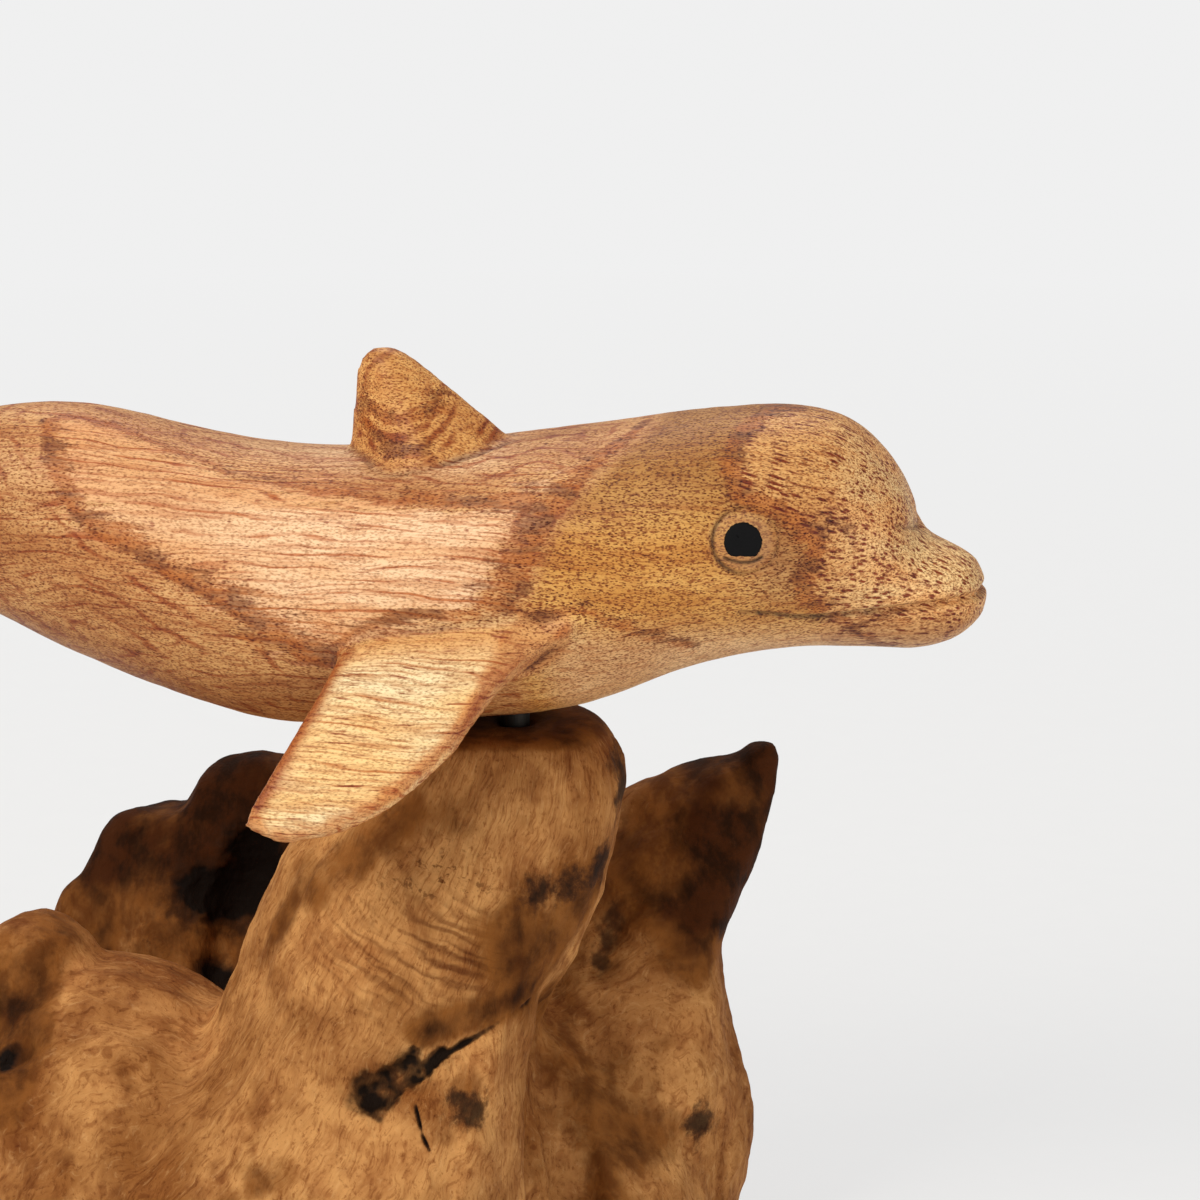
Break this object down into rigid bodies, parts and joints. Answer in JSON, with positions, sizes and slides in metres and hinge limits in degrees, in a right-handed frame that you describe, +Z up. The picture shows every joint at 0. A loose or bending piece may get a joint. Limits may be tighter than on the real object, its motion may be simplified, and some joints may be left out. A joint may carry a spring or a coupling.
{
  "type": "wooden dolphin sculpture",
  "caption": "Carved wooden dolphin with dorsal fin, pectoral fins and flukes, turning on a hidden steel pin in the post of a natural root stump; a table ornament.",
  "frame": {"origin": "on the table plane, at the cut underside of the root, below the axis of the pin", "axes": "+X towards the dolphin's beak, +Y to the dolphin's left, +Z up along the pin"},
  "size_m": [0.1854, 0.0943, 0.1345],
  "materials": {
    "root_wood": "matte, fibrous root wood with dark inclusions",
    "pin_steel": "plain drawn steel rod",
    "carving_wood": "fine-sanded, waxed, open-pored golden wood with red-brown streaks",
    "pupil_paint": "brushed-on black paint"
  },
  "bodies": {
    "stand": {"root_base": "root_wood", "mounting_pin": "pin_steel"},
    "dolphin": {"dolphin_body": "carving_wood", "right_pupil": "pupil_paint", "left_pupil": "pupil_paint"}
  },
  "joints": [
    {"name": "dolphin_swivel", "type": "hinge", "parent": "stand", "child": "dolphin", "pos_m": [0, 0, 0.084], "axis": [0, 0, 1], "continuous": true}
  ]
}
